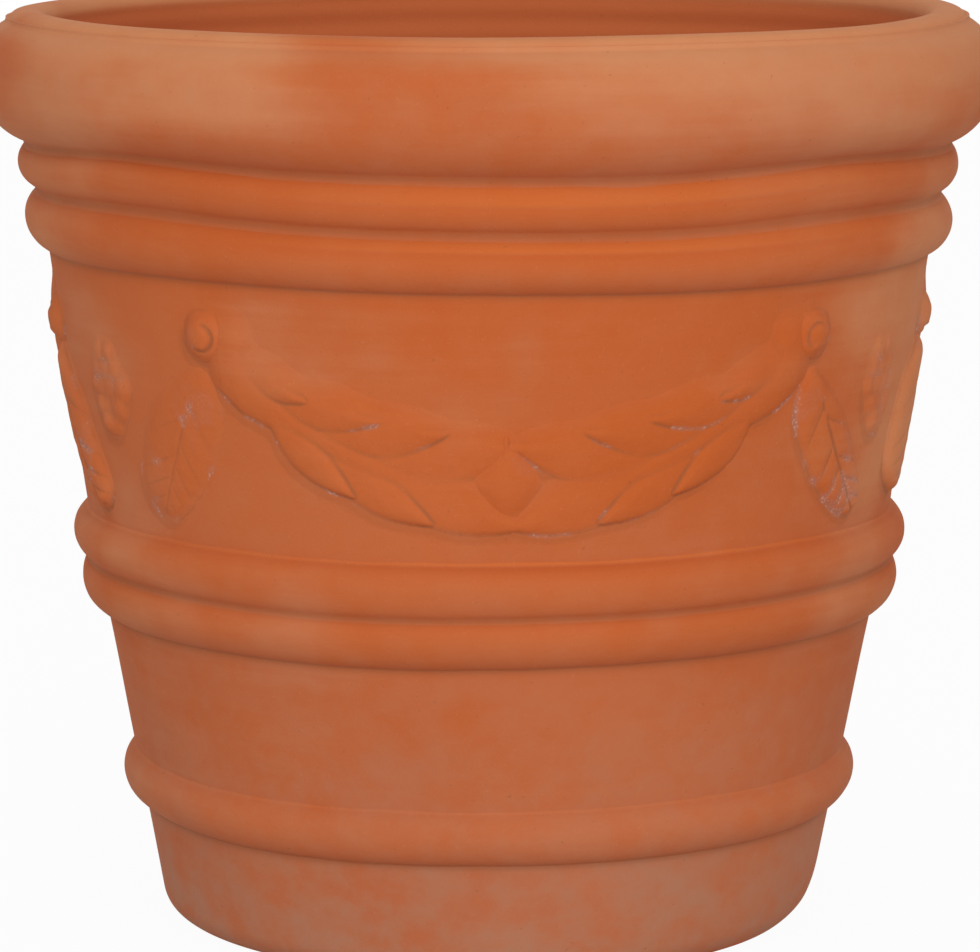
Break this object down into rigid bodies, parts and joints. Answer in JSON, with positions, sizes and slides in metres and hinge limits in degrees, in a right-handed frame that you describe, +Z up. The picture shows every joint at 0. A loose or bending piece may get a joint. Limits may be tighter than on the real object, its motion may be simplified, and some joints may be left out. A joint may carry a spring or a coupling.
{
  "type": "terracotta flower pot",
  "caption": "Large tapered terracotta flower pot with a rolled rim, bead mouldings, a leaf garland relief round the frieze and a drain hole in the floor.",
  "frame": {"origin": "middle of the flat base, on the ground", "axes": "+Z up along the pot's axis, -Y towards the middle of the front side, +X to its right"},
  "size_m": [0.5, 0.5, 0.454],
  "materials": {
    "wall_clay": "matt fired terracotta",
    "coil_clay": "matt fired terracotta, wiped smooth",
    "sprig_clay": "matt fired terracotta, press-moulded",
    "inner_clay": "matt fired terracotta, left rough"
  },
  "bodies": {
    "root": {"floor_slab": "inner_clay", "foot_course": "wall_clay", "belly_course": "wall_clay", "frieze_course": "wall_clay", "collar_course": "wall_clay", "rim_roll": "coil_clay", "collar_bead_upper": "coil_clay", "collar_bead_lower": "coil_clay", "waist_bead_upper": "coil_clay", "waist_bead_lower": "coil_clay", "foot_bead": "coil_clay", "front_garland_bud": "sprig_clay", "right_garland_bud": "sprig_clay", "left_garland_bud": "sprig_clay", "front_garland_branch_left": "sprig_clay", "front_garland_branch_right": "sprig_clay", "right_garland_branch_left": "sprig_clay", "right_garland_branch_right": "sprig_clay", "left_garland_branch_left": "sprig_clay", "left_garland_branch_right": "sprig_clay", "front_rosette_left": "sprig_clay", "front_rosette_right": "sprig_clay", "right_rosette_left": "sprig_clay", "right_rosette_right": "sprig_clay", "left_rosette_left": "sprig_clay", "left_rosette_right": "sprig_clay", "front_drop_leaf_left": "sprig_clay", "front_drop_leaf_right": "sprig_clay", "right_drop_leaf_left": "sprig_clay", "right_drop_leaf_right": "sprig_clay", "left_drop_leaf_left": "sprig_clay", "left_drop_leaf_right": "sprig_clay", "right_berry_cluster": "sprig_clay", "back_berry_cluster": "sprig_clay", "left_berry_cluster": "sprig_clay"}
  },
  "joints": []
}
